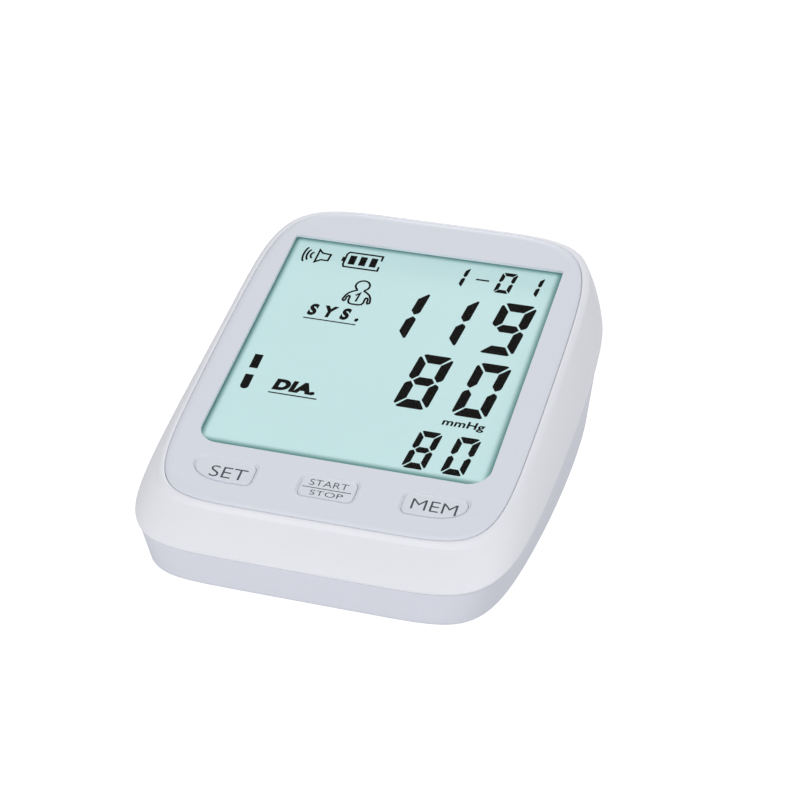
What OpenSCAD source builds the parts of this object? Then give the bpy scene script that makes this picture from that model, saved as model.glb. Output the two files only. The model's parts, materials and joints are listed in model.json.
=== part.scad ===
// Upper arm blood pressure monitor of the desk type, with a large backlit display.
// It stands on four feet. X runs to the right, Y to the rear and Z up.
// The origin is on the table, under the middle of the body.

/* [Body] */
// Width of the case at its waist
body_w = 104; // [103:0.5:106]
// Length of the case at its waist
body_l = 133; // [132:0.5:135]
// Height of the waist at the front
waist_front_z = 11; // [10.5:0.25:12]
// Rise of the waist towards the rear, in degrees
waist_tilt = 8; // [7:0.5:8.5]
// Width of the bottom of the case
base_w = 99; // [98.5:0.5:100]
// Thickness of the case walls
wall = 2.2; // [1.8:0.1:2.4]
// Height of the feet below the case
foot_h = 1; // [0.8:0.1:1.2]

/* [Front panel] */
// Slope of the panel and the display, in degrees
panel_tilt = 14; // [13.5:0.5:14.5]
// Distance of the display's middle behind the body's middle
display_y = 2.6; // [2:0.2:3]
// Height of the display's middle
display_z = 34.5; // [34:0.5:36]
// Width of the panel
panel_w = 90.6; // [89:0.2:91]
// Reach of the panel in front of the display's middle
panel_front = 60; // [59:0.5:60.5]
// Reach of the panel behind the display's middle
panel_rear = 54; // [53:0.5:54.5]
// Thickness of the panel
panel_t = 2; // [2:0.1:2.2]
// Width of the display window
window_w = 76; // [74:0.5:76.5]
// Length of the display window
window_l = 81.4; // [79:0.2:82]

/* [Keys] */
// Distance of the key row in front of the display's middle
key_v = 49.5; // [49:0.25:50]
// Length of the keys along the slope
key_l = 8; // [7:0.5:8]
// Width of the middle key
middle_key_w = 15.6; // [13:0.2:16]
// Width of the outer keys
outer_key_w = 17.2; // [15:0.2:17.4]
// Distance of the outer keys from the middle of the panel
outer_key_x = 27.4; // [27:0.1:27.6]
// Travel of the keys
key_travel = 0.5; // [0.3:0.1:0.5]

/* [Power] */
// Diameter of a battery cell
cell_d = 14.2; // [13.8:0.1:14.4]
// Distance from one cell to the next
cell_pitch = 14.7; // [14.6:0.05:14.8]

/* [Air system] */
// Distance of the air socket in front of the body's middle
socket_y = 25; // [22:1:28]
// Height of the air socket
socket_z = 9.2; // [9:0.1:9.3]
// Radius of the air socket's bore
socket_r = 2.4; // [2:0.1:2.6]
// Outer diameter of the air tubes
tube_d = 4; // [3.6:0.1:4]

/* [Hidden] */
$fn = 48;

// Points in each outline ring of the case
ring_n = 72;
// Top of the case floor
floor_z = foot_h + wall;
// Gap left between the two case halves
part_gap = 0.15;
// Layers under the panel, measured down from its top face
deck_top = panel_t + 0.1;
deck_bottom = deck_top + 2;
window_lip = 0.9;
lens_t = 0.8;
lcd_top = 2.05;
lcd_t = 2.1;
light_top = 4.2;
light_t = 3;
tray_top = 7.3;
tray_t = 1.2;
board_top = 9.5;
board_t = 1.6;
board_bottom = board_top + board_t;
// Depth at which the key switches' stems would bottom, above the board
switch_floor = 1.5;
// Reach of the display module in front of and behind the window's middle
lcd_front = 42;
lcd_rear = 43;
lcd_w = 79;
tray_wall = 1.2;
tray_w = lcd_w + 0.4 + 2 * tray_wall;
// Main board
board_w = 74;
board_front = 56;
board_rear = 14;
// Case screws: place, and height where the two bosses meet
front_screw = [41, -47];
rear_screw = [33, 56.5];
front_meet_z = 8;
rear_meet_z = 16;
screw_r = 1.25;
// Board screws in the slope of the panel: x, v and height of the head
deck_screw = [13.5, -52.5];
tray_screw = [33, -17];
ear_screw = [20, 48];
// Battery bay
cell_r = cell_d / 2;
cell_z = floor_z + 0.1 + cell_r;
cell_x0 = -34.9;
bay_left = cell_x0 - cell_r - 0.3;
bay_right = cell_x0 + 3 * cell_pitch + cell_r + 0.3;
bay_front = -6.8;
bay_rear = 50.8;
bay_wall = 1.2;
bay_top = cell_z + cell_r + 0.3;
bay_mid = (bay_front + bay_rear) / 2;
// Battery door
door_gap = 0.15;
door_t = 2;
tongue = 1.2;
door_front = bay_front - bay_wall;
door_rear = bay_rear + bay_wall;
door_right = bay_right + bay_wall + 0.5;
// Pump, lying along Y beside the battery bay
pump_x = 31;
pump_z = 14;
pump_front = 8;
cover_l = 6.5;
diaphragm_t = 2;
base_l = 9.5;
motor_l = 23.5;
cap_l = 1.5;
motor_front = pump_front + cover_l + diaphragm_t + base_l;
motor_rear = motor_front + motor_l;
head_r = 10.7;
can_r = 10.2;
shaft_r = 1;
shaft_fit = 0.03;
// Solenoid valve, standing on the floor
valve = [38, -3];
valve_w = 11;
valve_h = 11.4;
plunger_r = 1.5;
// Height shared by the pump nozzle, the manifold and the valve nozzle
air_z = 17;
manifold = [26, -3];
// Speaker on the floor
speaker = [-20, -38];
speaker_r = 11.5;
// Power socket in the rear wall
usb_z = 8.2;
usb_w = 9;
usb_h = 3.3;
usb_rear = 64;

// ---------- outlines and general shapes ----------

function spow(c, p) = sign(c) * pow(abs(c), p);
function unit(a) = a / norm(a);
function mix(a, b, s) = a * (1 - s) + b * s;

// Rounded outline with half width hw, front and rear reach lf and lr, corner
// powers nf and nr, and ends that are narrower than the middle by bow
function outline(hw, lf, lr, nf, nr, bow) = [
    for (i = [0:ring_n - 1])
        let (c = spow(cos(360 * i / ring_n), 0.7),
             s = spow(sin(360 * i / ring_n), 0.7),
             n = s < 0 ? nf : nr,
             k = pow(pow(abs(c), n) + pow(abs(s), n), -1 / n))
        [c * k * (hw - bow * pow(s * k, 2)), s * k * (s < 0 ? lf : lr)]
];

// A point given across, along and above the sloping panel
function panel_pt(u, v, w) = [
    u,
    display_y + v * cos(panel_tilt) - w * sin(panel_tilt),
    display_z + v * sin(panel_tilt) + w * cos(panel_tilt)
];

function waist_z(y) = waist_front_z + (y + body_l / 2) * tan(waist_tilt);

function waist_ring(d, dz) = [
    for (p = outline(body_w / 2 + d, body_l / 2 + d, body_l / 2 + d, 7, 5.2, 3.1))
        [p[0], p[1], waist_z(p[1]) + dz]
];

function base_ring(d, z) = [
    for (p = outline(base_w / 2 + d, body_l / 2 - 1.2 + d, body_l / 2 - 3 + d, 8, 6, 4.6))
        [p[0], p[1], z]
];

function panel_outline(d) =
    outline(panel_w / 2 + d, panel_front + d, panel_rear + d, 7.5, 5.8, 0.9);

function rim_ring(d, w) = [for (p = panel_outline(d)) panel_pt(p[0], p[1], w)];

// Solid skinned over a stack of rings with equal numbers of points
module loft(rings) {
    n = len(rings[0]);
    last = (len(rings) - 1) * n;
    sides = [
        for (j = [0:len(rings) - 2])
            for (i = [0:n - 1])
                let (a = j * n + i, b = j * n + (i + 1) % n)
                each [[a, a + n, b + n], [a, b + n, b]]
    ];
    polyhedron(
        points = [for (r = rings) each r],
        faces = concat([[for (i = [0:n - 1]) i]], sides, [[for (i = [n - 1:-1:0]) last + i]])
    );
}

// Smooth curve through the listed points
function spline_pt(a, b, c, d, t) =
    0.5 * (2 * b + (c - a) * t + (2 * a - 5 * b + 4 * c - d) * t * t
    + (3 * b - a - 3 * c + d) * t * t * t);
function spline(p, k) = [
    for (i = [0:len(p) - 2])
        for (j = [0:k - 1])
            spline_pt(p[max(i - 1, 0)], p[i], p[i + 1], p[min(i + 2, len(p) - 1)], j / k),
    p[len(p) - 1]
];
function tangent(p, i) = unit(p[min(i + 1, len(p) - 1)] - p[max(i - 1, 0)]);
function carry(p, i, s) =
    i == len(p) ? [] :
    let (t = tangent(p, i), n = unit(s - (s * t) * t))
    concat([n], carry(p, i + 1, n));

// Round bar of radius r along a path
module bar(path, r, sides) {
    side = carry(path, 0, [0.31, 0.52, 0.8]);
    loft([
        for (i = [0:len(path) - 1])
            let (b = cross(tangent(path, i), side[i]))
            [for (j = [0:sides - 1])
                path[i] + r * (cos(360 * j / sides) * side[i] + sin(360 * j / sides) * b)]
    ]);
}
module tube(points, r) bar(spline(points, 6), r, 8);
module lead(points) bar(spline(points, 4), 0.45, 6);

// Coil along Z, from radius r0 at the bottom to r1 at the top
module coil(r0, r1, h, turns, wire_r) {
    steps = turns * 12;
    bar([
        for (i = [0:steps])
            let (s = i / steps, r = mix(r0, r1, s))
            [r * cos(30 * i), r * sin(30 * i), s * h]
    ], wire_r, 6);
}

module at_panel(u = 0, v = 0, w = 0)
    translate([0, display_y, display_z])
        rotate([panel_tilt, 0, 0])
            translate([u, v, w])
                children();

// Cylinder along Y, between two places
module rod_y(r, y0, y1)
    translate([0, y0, 0])
        rotate([-90, 0, 0])
            cylinder(r = r, h = y1 - y0);

module box(x0, x1, y0, y1, z0, z1)
    translate([x0, y0, z0])
        cube([x1 - x0, y1 - y0, z1 - z0]);

// Flat outline with round corners
module round_rect(w, l, r) {
    square([w - 2 * r, l], center = true);
    square([w, l - 2 * r], center = true);
    for (x = [-1, 1], y = [-1, 1])
        translate([x * (w / 2 - r), y * (l / 2 - r)])
            circle(r = r);
}

// ---------- case ----------

module upper_solid()
    loft([
        waist_ring(-0.5, part_gap / 2),
        waist_ring(-0.1, 0.3),
        waist_ring(0, 0.9),
        mix(waist_ring(0.5, 0.9), rim_ring(2.5, -1.5), 0.5),
        rim_ring(2, -1.5),
        rim_ring(1.7, -0.9),
        rim_ring(0.9, -0.3),
    ]);

module upper_hollow()
    loft([
        waist_ring(-wall, -1),
        waist_ring(-wall, 0.9),
        mix(waist_ring(-wall + 0.3, 0.9), rim_ring(0.3, -deck_bottom), 0.5),
        rim_ring(-0.4, -deck_bottom),
    ]);

module upper_post(p, meet_z)
    intersection() {
        upper_solid();
        translate([p[0], p[1], meet_z + part_gap])
            cylinder(r = 3, h = 40);
    }

module upper_case()
    color("#dfe0e6") {
        difference() {
            union() {
                difference() {
                    upper_solid();
                    upper_hollow();
                }
                for (s = [-1, 1]) {
                    upper_post([s * front_screw[0], front_screw[1]], front_meet_z);
                    upper_post([s * rear_screw[0], rear_screw[1]], rear_meet_z);
                    at_panel(s * deck_screw[0], deck_screw[1], -board_top + 0.1)
                        cylinder(r = 2.4, h = board_top - deck_bottom + 0.2);
                    at_panel(s * ear_screw[0], ear_screw[1], -tray_top + 0.1)
                        cylinder(r = 2.4, h = tray_top - deck_bottom + 0.2);
                }
            }
            at_panel(0, 0, -deck_top)
                linear_extrude(6)
                    polygon(panel_outline(0.25));
            at_panel(0, 0, -deck_bottom - 1)
                linear_extrude(4)
                    tray_shape(0.4, -0.8);
            for (s = [-1, 0, 1])
                at_panel(0, -key_v, -deck_bottom - 1)
                    linear_extrude(4)
                        key_shape(s, -0.4);
            for (s = [-1, 1]) {
                translate([s * front_screw[0], front_screw[1], front_meet_z - 1])
                    cylinder(r = screw_r + 0.05, h = 7);
                translate([s * rear_screw[0], rear_screw[1], rear_meet_z - 1])
                    cylinder(r = screw_r + 0.05, h = 9);
                at_panel(s * deck_screw[0], deck_screw[1], -board_top - 1)
                    cylinder(r = 1, h = 6);
                at_panel(s * ear_screw[0], ear_screw[1], -tray_top - 1)
                    cylinder(r = 1, h = 4.4);
            }
        }
    }

module lower_solid()
    loft([
        base_ring(-1.6, foot_h),
        base_ring(-0.6, foot_h + 0.3),
        base_ring(0, foot_h + 1.4),
        waist_ring(-0.5, -part_gap / 2),
    ]);

module lower_hollow()
    loft([
        base_ring(-wall - 0.8, floor_z),
        base_ring(-wall, floor_z + 1),
        waist_ring(-wall - 0.5, -1.5),
        waist_ring(-wall - 0.5, 4),
    ]);

module lower_lip()
    difference() {
        loft([waist_ring(-wall - 0.15, -0.8), waist_ring(-wall - 0.15, 0.8)]);
        loft([waist_ring(-wall - 1.15, -3), waist_ring(-wall - 1.15, 3)]);
    }

module lower_post(p, meet_z)
    translate([p[0], p[1], foot_h + 1])
        cylinder(r = 3.3, h = meet_z - foot_h - 1);

module screw_way(p)
    translate([p[0], p[1], 0]) {
        cylinder(r = screw_r + 0.2, h = 40);
        cylinder(r = 2.9, h = foot_h + 3);
    }

// Space that the battery door slides in
module door_way() {
    box(-60, door_right, door_front - door_gap, door_rear + door_gap, 0, floor_z);
    box(-60, door_right, door_front - tongue - door_gap, door_rear + tongue + door_gap,
        foot_h + 0.9, floor_z);
}

module pump_cradle(y)
    difference() {
        box(pump_x - 8, pump_x + 8, y, y + 1.2, foot_h + 1, 8);
        translate([pump_x, 0, pump_z])
            rod_y(can_r + 0.1, y - 1, y + 3);
    }

module lower_case()
    color("#c9ccd8")
        difference() {
            union() {
                difference() {
                    lower_solid();
                    lower_hollow();
                }
                lower_lip();
                intersection() {
                    lower_solid();
                    union() {
                        box(-60, door_right + 2, door_front - 2.6, door_rear + 2.6,
                            foot_h + 1, floor_z + 1.4);
                        box(bay_left - bay_wall, bay_right + bay_wall, door_front, door_rear,
                            foot_h + 1, bay_top + bay_wall);
                        box(-8, -5, 55.6, 61.8, foot_h + 1, usb_z - usb_h / 2 - 1);
                        box(5, 8, 55.6, 61.8, foot_h + 1, usb_z - usb_h / 2 - 1);
                    }
                }
                pump_cradle(28);
                pump_cradle(47.2);
                for (s = [-1, 1]) {
                    lower_post([s * front_screw[0], front_screw[1]], front_meet_z);
                    lower_post([s * rear_screw[0], rear_screw[1]], rear_meet_z);
                }
            }
            box(bay_left, bay_right, bay_front, bay_rear, 0, bay_top);
            door_way();
            for (s = [-1, 1]) {
                screw_way([s * front_screw[0], front_screw[1]]);
                screw_way([s * rear_screw[0], rear_screw[1]]);
            }
            for (p = foot_places)
                translate([p[0], p[1], 0])
                    cylinder(r = 4.6, h = foot_h + 0.8);
            translate([-60, -socket_y, socket_z])
                rotate([0, 90, 0])
                    cylinder(r = 4.3, h = 16);
            translate([0, usb_rear - 6, usb_z])
                rotate([-90, 0, 0])
                    linear_extrude(10)
                        round_rect(usb_w + 0.6, usb_h + 0.6, 1.6);
            for (i = [-2:2])
                translate([speaker[0] + i * 3.2, speaker[1], 0])
                    linear_extrude(10)
                        round_rect(1.4, 14 - 2.4 * abs(i), 0.6);
        }

foot_places = [[-35, -56.5], [35, -56.5], [-20, 57.6], [20, 57.6]];

module rubber_feet()
    color("#55585f")
        for (p = foot_places)
            translate([p[0], p[1], 0]) {
                cylinder(r1 = 3.9, r2 = 4.4, h = 0.5, $fn = 48);
                translate([0, 0, 0.5])
                    cylinder(r = 4.4, h = foot_h + 0.3 - 0.05);
            }

module case_screw(p, meet_z)
    translate([p[0], p[1], foot_h + 1.4]) {
        difference() {
            cylinder(r = 2.6, h = 1.55);
            for (a = [0, 90])
                rotate(a)
                    box(-1.5, 1.5, -0.3, 0.3, -1, 0.8);
        }
        translate([0, 0, 1.5])
            cylinder(r = screw_r, h = meet_z + 2.9 - foot_h);
    }

module case_screws()
    color("silver")
        for (s = [-1, 1]) {
            case_screw([s * front_screw[0], front_screw[1]], front_meet_z);
            case_screw([s * rear_screw[0], rear_screw[1]], rear_meet_z);
        }

// ---------- panel and keys ----------

function arc(cx, cy, rx, ry, a0, a1) =
    [for (i = [0:8]) let (a = mix(a0, a1, i / 8)) [cx + rx * cos(a), cy + ry * sin(a)]];

// Key outline, shrunk by d: s is -1 for the left, 0 for the middle, 1 for the right key
module key_shape(s, d) {
    w = (s == 0 ? middle_key_w : outer_key_w) / 2 - d;
    l = key_l / 2 - d;
    r = 2 - d / 2;
    sweep = s == 0 ? [r, r] : [9.5 - d, 2 * l - r - 0.4];
    translate([s * outer_key_x, 0])
        scale([s > 0 ? -1 : 1, 1])
            polygon(concat(
                arc(w - r, l - r, r, r, 0, 90),
                arc(-w + r, l - r, r, r, 90, 180),
                arc(-w + sweep[0], -l + sweep[1], sweep[0], sweep[1], 180, 270),
                arc(w - r, -l + r, r, r, 270, 360)
            ));
}

module window_shape(d, r) {
    w = window_w + 2 * d;
    l = window_l + 2 * d;
    translate([0, r / 2])
        square([w, l - r], center = true);
    square([w - 2 * r, l], center = true);
    for (x = [-1, 1])
        translate([x * (w / 2 - r), -l / 2 + r])
            circle(r = r);
}

module front_panel()
    color("#ccd0d9")
        at_panel()
            difference() {
                union() {
                    translate([0, 0, -panel_t])
                        linear_extrude(panel_t - 0.6)
                            polygon(panel_outline(0));
                    translate([0, 0, -0.6])
                        linear_extrude(0.6)
                            polygon(panel_outline(-0.6));
                }
                translate([0, 0, -panel_t - 1])
                    linear_extrude(panel_t + 2)
                        window_shape(0, 4);
                translate([0, 0, -panel_t - 1])
                    linear_extrude(panel_t + 1 - window_lip)
                        round_rect(window_w + 4.2, window_l + 3.4, 0.5);
                for (s = [-1, 0, 1])
                    translate([0, -key_v, 0]) {
                        translate([0, 0, -0.8])
                            linear_extrude(2)
                                key_shape(s, 0);
                        translate([0, 0, -panel_t - 1])
                            linear_extrude(panel_t + 2)
                                key_shape(s, 0.6);
                    }
            }

module display_lens()
    color([0.85, 0.95, 0.95, 0.35])
        at_panel(0, 0, -window_lip - lens_t - 0.05)
            linear_extrude(lens_t)
                round_rect(window_w + 4, window_l + 3.2, 0.4);

module lcd_glass()
    color("#c5e3e3")
        at_panel(0, (lcd_rear - lcd_front) / 2, -lcd_top - lcd_t)
            linear_extrude(lcd_t)
                square([lcd_w, lcd_front + lcd_rear], center = true);

module backlight()
    color("#eef6f6")
        at_panel(0, (lcd_rear - lcd_front) / 2, -light_top - light_t)
            linear_extrude(light_t)
                square([lcd_w - 1.2, lcd_front + lcd_rear - 1], center = true);

// Outline of the display holder, grown by d. The case's round corners trim it.
module tray_shape(d, trim)
    intersection() {
        translate([0, (lcd_rear - lcd_front) / 2])
            square([tray_w + 2 * d, lcd_front + lcd_rear + 2.8 + 2 * d], center = true);
        polygon(panel_outline(trim));
    }

module lcd_holder()
    color("white")
        difference() {
            union() {
                at_panel(0, 0, -tray_top - tray_t)
                    linear_extrude(tray_top + tray_t - 2.4)
                        tray_shape(0, -1.1);
                for (s = [-1, 1]) {
                    at_panel(s * tray_screw[0], tray_screw[1], -board_top)
                        cylinder(r = 2.4, h = board_top - tray_top - 0.5);
                    at_panel(s * ear_screw[0] - 3.2, lcd_rear, -tray_top - tray_t)
                        cube([6.4, 7, tray_t]);
                }
            }
            at_panel(-lcd_w / 2 - 0.2, -lcd_front - 0.2, -tray_top)
                cube([lcd_w + 0.4, lcd_front + lcd_rear + 0.4, 10]);
            at_panel(-21, -lcd_front - 3, -tray_top)
                cube([42, 5, 10]);
            for (s = [-1, 1]) {
                at_panel(s * tray_screw[0], tray_screw[1], -board_top - 1)
                    cylinder(r = 1, h = 2.85);
                at_panel(s * ear_screw[0], ear_screw[1], -board_top - 1)
                    cylinder(r = 1.1, h = 6);
            }
        }

module lcd_ribbon()
    color("#b5762f")
        at_panel() {
            box(-18, 18, -lcd_front - 1, -lcd_front - 0.02, -3.2, -2.9);
            box(-18, 18, -lcd_front - 1.75, -lcd_front - 0.7, -3.2, -2.9);
            box(-18, 18, -lcd_front - 1.75, -lcd_front - 1.45, -board_top, -2.9);
        }

// The key's shank passes the panel, and the flange under the panel holds it in
module key_cap(s)
    color("#d6d9e0")
        at_panel(0, -key_v, 0) {
            translate([0, 0, -panel_t - 0.2])
                linear_extrude(panel_t + 0.2)
                    key_shape(s, 0.9);
            translate([0, 0, -panel_t - 0.9])
                linear_extrude(0.8)
                    key_shape(s, 0.05);
        }

module set_button() key_cap(-1);
module start_button() key_cap(0);
module memory_button() key_cap(1);

module switch_bodies()
    color("#2c2d30")
        for (s = [-1, 0, 1])
            at_panel(s * outer_key_x, -key_v, -board_top)
                difference() {
                    translate([-3, -3, 0])
                        cube([6, 6, 3.5]);
                    translate([0, 0, switch_floor])
                        cylinder(r = 1.75, h = 3);
                }

module switch_stem(s)
    color("#1c1c1e")
        at_panel(s * outer_key_x, -key_v, -board_top + switch_floor + key_travel + 0.2)
            cylinder(r = 1.7, h = board_top - switch_floor - key_travel - panel_t - 1.15);

module set_switch_stem() switch_stem(-1);
module start_switch_stem() switch_stem(0);
module memory_switch_stem() switch_stem(1);

// ---------- electronics ----------

module main_board()
    color("#1f6b43")
        difference() {
            at_panel(-board_w / 2, -board_front, -board_bottom)
                cube([board_w, board_front - board_rear, board_t]);
            for (s = [-1, 1], p = [deck_screw, tray_screw])
                at_panel(s * p[0], p[1], -board_bottom - 1)
                    cylinder(r = 1.1, h = board_t + 2);
        }

module board_screw(u, v, head_w)
    at_panel(u, v, -head_w) {
        translate([0, 0, -1.2])
            cylinder(r = 1.9, h = 1.2);
        translate([0, 0, -0.1])
            cylinder(r = 0.95, h = 3.5);
    }

module board_screws()
    color("silver")
        for (s = [-1, 1]) {
            board_screw(s * deck_screw[0], deck_screw[1], board_bottom);
            board_screw(s * tray_screw[0], tray_screw[1], board_bottom);
            board_screw(s * ear_screw[0], ear_screw[1], tray_top + tray_t);
        }

module controller_chip()
    color("#222326")
        at_panel(-16, -34, -board_bottom - 1.2)
            cube([11, 11, 1.2]);

// Memory chip, crystal, coil, capacitors and resistors under the board
board_part_list = [
    [4, -38, 6, 5, 1.5], [4, -30, 5, 3, 1.2], [12, -46, 7, 7, 2.6], [-36, -50, 5, 5, 3],
    [26, -47, 3, 1.8, 1], [26, -43, 3, 1.8, 1], [-2, -48, 3, 1.8, 1], [-8, -19, 3, 1.8, 1],
    [0, -19, 3, 1.8, 1], [8, -19, 3, 1.8, 1],
];
module board_parts()
    color("#6e655a")
        for (p = board_part_list)
            at_panel(p[0], p[1], -board_bottom - p[4])
                cube([p[2], p[3], p[4]]);

module pressure_sensor()
    color("#3a3b3f")
        at_panel(20, -28, -board_bottom) {
            translate([-3.5, -3.5, -3.4])
                cube([7, 7, 3.4]);
            translate([0, 0, -6])
                cylinder(r = 1.3, h = 3);
        }

module speaker_frame()
    color("#3c3d42")
        translate([speaker[0], speaker[1], floor_z]) {
            difference() {
                cylinder(r = speaker_r, h = 2.6);
                translate([0, 0, -1])
                    cylinder(r = speaker_r - 1.3, h = 3);
            }
            translate([0, 0, 2.5])
                cylinder(r = 6, h = 1.7);
        }

module speaker_cone()
    color("#202124")
        translate([speaker[0], speaker[1], floor_z + 0.4])
            rotate_extrude($fn = 48)
                polygon([[0.01, 1], [3, 1.1], [speaker_r - 1.5, 0], [speaker_r - 1.5, 0.4],
                         [3, 1.45], [0.01, 1.4]]);

module speaker_leads()
    color("#b03030")
        for (s = [-1, 1])
            lead([[speaker[0] + s * 1.5, -47, 6.35], [speaker[0] + s * 1.5, -46, 7.4],
                  [speaker[0] + s * 1.5, -45.2, 10.7]]);

// ---------- pump ----------

module pump_place()
    translate([pump_x, 0, pump_z])
        children();

module motor_can()
    color("#b8bbbf")
        pump_place()
            difference() {
                rod_y(can_r, motor_front, motor_rear);
                rod_y(can_r - 0.8, motor_front + 1, motor_rear + 1);
                rod_y(shaft_r + shaft_fit, motor_front - 1, motor_front + 2);
            }

module motor_end_cap()
    color("#26272a")
        pump_place()
            difference() {
                union() {
                    rod_y(can_r - 0.85, motor_rear - 0.8, motor_rear);
                    rod_y(can_r, motor_rear, motor_rear + cap_l);
                }
                rod_y(shaft_r + shaft_fit, motor_rear - 2, motor_rear + 0.7);
            }

module motor_magnets()
    color("#4a4b50")
        pump_place()
            for (s = [0, 180])
                rotate([0, s, 0])
                    difference() {
                        rod_y(can_r - 0.85, motor_front + 4, motor_front + 19);
                        rod_y(can_r - 2.2, motor_front + 3, motor_front + 20);
                        box(-20, 4, -60, 80, -20, 20);
                    }

module motor_rotor()
    color("#c78a4a")
        pump_place()
            difference() {
                union() {
                    rod_y(shaft_r, pump_front + cover_l + diaphragm_t + 1.4, motor_rear + 0.5);
                    rod_y(can_r - 2.6, motor_front + 5, motor_front + 18);
                    rod_y(2.6, motor_front + 19, motor_front + 22);
                }
                for (a = [0, 120, 240])
                    rotate([0, a, 0])
                        box(-1.3, 1.3, motor_front + 4, motor_front + 18.5, 4.5, 12);
            }

module pump_eccentric()
    color("#e8e4d8")
        pump_place()
            difference() {
                union() {
                    rod_y(4, motor_front - 5.4, motor_front - 1.2);
                    translate([2.4, 0, 0])
                        rod_y(0.8, motor_front - 7, motor_front - 5.3);
                }
                rod_y(shaft_r, motor_front - 12, motor_front);
            }

module pump_base()
    color("#33353a")
        pump_place()
            difference() {
                rod_y(head_r, pump_front + cover_l + diaphragm_t, motor_front);
                rod_y(head_r - 1.6, pump_front + cover_l + diaphragm_t - 1, motor_front - 0.6);
                rod_y(4, motor_front - 1, motor_front + 1);
            }

module pump_diaphragm()
    color("#8f4a3a")
        pump_place() {
            rod_y(head_r, pump_front + cover_l, pump_front + cover_l + diaphragm_t);
            for (a = [0, 120, 240])
                rotate([0, a, 0])
                    translate([0, 0, 5.4])
                        rod_y(2.2, pump_front + cover_l + 1, pump_front + cover_l + 3);
        }

module pump_cover()
    color("#2b2d31")
        difference() {
            union() {
                pump_place()
                    rod_y(head_r, pump_front, pump_front + cover_l);
                translate([manifold[0], 0, air_z])
                    rod_y(1.6, pump_front - 2.5, pump_front + 1);
            }
            pump_place()
                rod_y(head_r - 2, pump_front + 1.6, pump_front + cover_l + 1);
            translate([manifold[0], 0, air_z])
                rod_y(0.8, pump_front - 4, pump_front + 2);
        }

module pump_sleeve()
    color("#1d1e20")
        pump_place()
            difference() {
                rod_y(can_r + 0.55, 30, 46);
                rod_y(can_r, 29, 47);
            }

module pump_leads()
    color("#b03030")
        for (s = [0, 1])
            lead([[pump_x - 6.5 + s * 2, motor_rear + cap_l + 0.15, 18 + s * 2],
                  [pump_x - 6.5 + s * 2, motor_rear + cap_l + 0.9, 18 + s * 2],
                  [pump_x - 7 + s * 2, motor_rear + cap_l + 1.8, 21 + s],
                  [pump_x - 9 + s * 1.3, 44, 24.2],
                  [20 + s * 1.3, 30, 23], [20 + s * 1.3, 15, 22.6], [20 + s * 1.3, 0, 22],
                  [20 + s * 1.3, -4, 21.8], [20 + s * 1.3, -8.3, 21.4]]);

// ---------- valve and air path ----------

module valve_yoke()
    color("#a9adb3")
        translate([valve[0], valve[1], floor_z])
            difference() {
                translate([-valve_w / 2, -valve_w / 2, 0])
                    cube([valve_w, valve_w, valve_h]);
                translate([-valve_w / 2 + 1, -valve_w / 2 - 1, 1])
                    cube([valve_w - 2, valve_w + 2, valve_h - 2]);
                translate([0, 0, 0.6])
                    cylinder(r = 1.2, h = 2);
                translate([0, 0, valve_h - 2])
                    cylinder(r = 1.2, h = 3);
            }

module valve_coil()
    color("#b3622c")
        translate([valve[0], valve[1], floor_z + 1.05])
            difference() {
                cylinder(r = 4.4, h = valve_h - 2.1);
                translate([0, 0, -1])
                    cylinder(r = plunger_r + 0.05, h = valve_h + 2);
            }

module valve_plunger()
    color("#d0d2d6")
        translate([valve[0], valve[1], floor_z + 3.4])
            cylinder(r = plunger_r, h = valve_h - 4.5);

module valve_spring()
    color("#9fa3a8")
        translate([valve[0], valve[1], floor_z + 1.25])
            coil(1.1, 1.1, 1.95, 3, 0.18);

module valve_cap()
    color("#e6e6e2")
        difference() {
            union() {
                translate([valve[0], valve[1], floor_z + valve_h])
                    linear_extrude(3.9)
                        round_rect(8, 8, 1);
                translate([valve[0] - 6, valve[1], air_z])
                    rotate([0, 90, 0])
                        cylinder(r = 1.4, h = 3);
            }
            translate([valve[0] - 8, valve[1], air_z])
                rotate([0, 90, 0])
                    cylinder(r = 0.7, h = 8);
            translate([valve[0], valve[1], floor_z + valve_h - 1])
                cylinder(r = 0.7, h = 3.4);
        }

module air_manifold()
    color("#e6e6e2")
        difference() {
            union() {
                translate([manifold[0], manifold[1], air_z - 3])
                    linear_extrude(6)
                        round_rect(7, 7, 1);
                translate([manifold[0], 0, air_z])
                    rod_y(1.6, 0, 2);
                translate([manifold[0] + 3, manifold[1], air_z])
                    rotate([0, 90, 0])
                        cylinder(r = 1.4, h = 2);
                for (s = [-1, 1])
                    translate([manifold[0] + s * 2.2, manifold[1] + s * 1.2, air_z - 5])
                        cylinder(r = 1.2, h = 3);
            }
            translate([manifold[0], 0, air_z])
                rod_y(0.8, manifold[1], 3);
            translate([manifold[0], manifold[1], air_z])
                rotate([0, 90, 0])
                    cylinder(r = 0.7, h = 8);
            for (s = [-1, 1])
                translate([manifold[0] + s * 2.2, manifold[1] + s * 1.2, air_z - 6])
                    cylinder(r = 0.6, h = 6.5);
        }

module pump_tube()
    color("#d8dcd2")
        translate([manifold[0], 0, air_z])
            difference() {
                rod_y(tube_d / 2, 0.55, pump_front - 0.05);
                rod_y(1.6, 0, pump_front);
            }

module valve_tube()
    color("#d8dcd2")
        translate([manifold[0] + 3.55, manifold[1], air_z])
            rotate([0, 90, 0])
                difference() {
                    cylinder(r = tube_d / 2, h = valve[0] - manifold[0] - 7.6);
                    translate([0, 0, -1])
                        cylinder(r = 1.4, h = 12);
                }

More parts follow.
